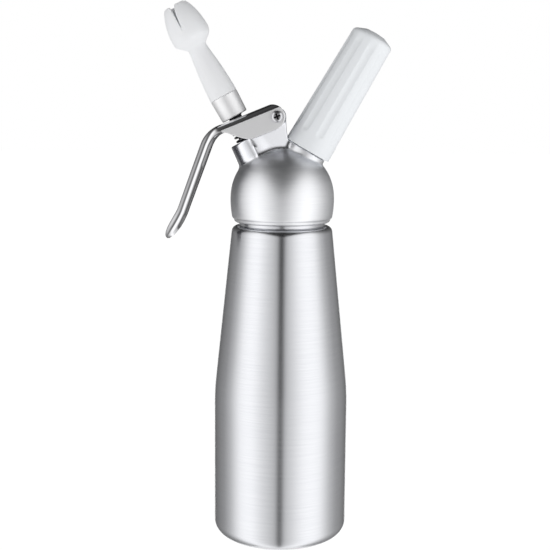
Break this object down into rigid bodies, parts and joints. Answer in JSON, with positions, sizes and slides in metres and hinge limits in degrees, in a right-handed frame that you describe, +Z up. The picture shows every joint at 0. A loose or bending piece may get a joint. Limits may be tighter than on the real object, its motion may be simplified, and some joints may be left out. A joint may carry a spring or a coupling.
{
  "type": "whipped cream dispenser",
  "caption": "Hand-held whipped cream dispenser: metal bottle, domed screw-on head, squeeze lever with valve and tulip nozzle, and an angled screw-on gas charger holder.",
  "frame": {"origin": "centre of the bottle's base, where it stands", "axes": "+Z up along the bottle, -X towards the lever and nozzle, +X towards the charger holder, -Y towards the pivot screw's head"},
  "size_m": [0.1312, 0.08, 0.3182],
  "materials": {
    "bottle_metal": "fine vertical brushing, satin",
    "head_metal": "satin, darker towards the crown",
    "lever_steel": "polished pressing",
    "turned_steel": "turned, bright",
    "knurled_metal": "bright, finely knurled",
    "spring_steel": "drawn wire",
    "turned_brass": "turned",
    "nozzle_plastic": "satin white",
    "holder_plastic": "cool white, soft gloss",
    "silicone": "pale, matte",
    "black_rubber": "matte",
    "charger_steel": "drawn steel, satin"
  },
  "bodies": {
    "bottle": {"bottle": "bottle_metal"},
    "head_seal": {"head_gasket": "silicone"},
    "head": {"head_casting": "head_metal", "gas_inlet_nipple": "turned_brass", "piercing_pin": "turned_steel", "inlet_gasket": "black_rubber", "check_valve_sleeve": "black_rubber", "pivot_screw": "turned_steel", "pivot_nut": "turned_steel", "stem_bush": "turned_brass", "stem_o_ring": "black_rubber"},
    "lever": {"lever": "lever_steel"},
    "valve": {"valve_stem": "turned_steel", "valve_seal": "black_rubber", "stem_nut": "turned_steel", "return_spring": "spring_steel"},
    "nozzle_seal": {"nozzle_washer": "black_rubber"},
    "nozzle": {"nozzle_base": "knurled_metal", "nozzle_tip": "nozzle_plastic"},
    "charger": {"gas_charger": "charger_steel"},
    "holder": {"charger_holder": "holder_plastic"}
  },
  "joints": [
    {"name": "head_lift", "type": "slide", "parent": "bottle", "child": "head_seal", "axis": [0, 0, 1], "range_m": [0, 0.00751]},
    {"name": "head_turn", "type": "hinge", "parent": "head_seal", "child": "head", "pos_m": [0, 0, 0.2], "axis": [0, 0, 1], "range_deg": [0, 900]},
    {"name": "lever_squeeze", "type": "hinge", "parent": "head", "child": "lever", "pos_m": [-0.00333, 0, 0.25238], "axis": [0, -1, 0], "range_deg": [0, 12], "stiffness_Nm_per_rad": 0.72, "springref_deg": -15.7},
    {"name": "valve_stroke", "type": "slide", "parent": "head", "child": "valve", "axis": [0.4848, 0, -0.8746], "range_m": [0, 0.00461], "deforming": ["return_spring"]},
    {"name": "nozzle_lift", "type": "slide", "parent": "valve", "child": "nozzle_seal", "axis": [-0.4848, 0, 0.8746], "range_m": [0, 0.00801]},
    {"name": "nozzle_turn", "type": "hinge", "parent": "nozzle_seal", "child": "nozzle", "pos_m": [-0.03151, 0, 0.25825], "axis": [-0.4848, 0, 0.8746], "range_deg": [0, 1440]},
    {"name": "charger_lift", "type": "slide", "parent": "head", "child": "charger", "axis": [0.5, 0, 0.866], "range_m": [0, 0.01001]},
    {"name": "holder_turn", "type": "hinge", "parent": "charger", "child": "holder", "pos_m": [0.03, 0, 0.25986], "axis": [0.5, 0, 0.866], "range_deg": [0, 1440]}
  ],
  "couplings": [
    {"joint": "head_lift", "follows": "head_turn", "m_per_rad": 0.00047746},
    {"joint": "valve_stroke", "follows": "lever_squeeze", "m_per_rad": 0.021949},
    {"joint": "nozzle_lift", "follows": "nozzle_turn", "m_per_rad": 0.00031831},
    {"joint": "charger_lift", "follows": "holder_turn", "m_per_rad": 0.00039789}
  ]
}
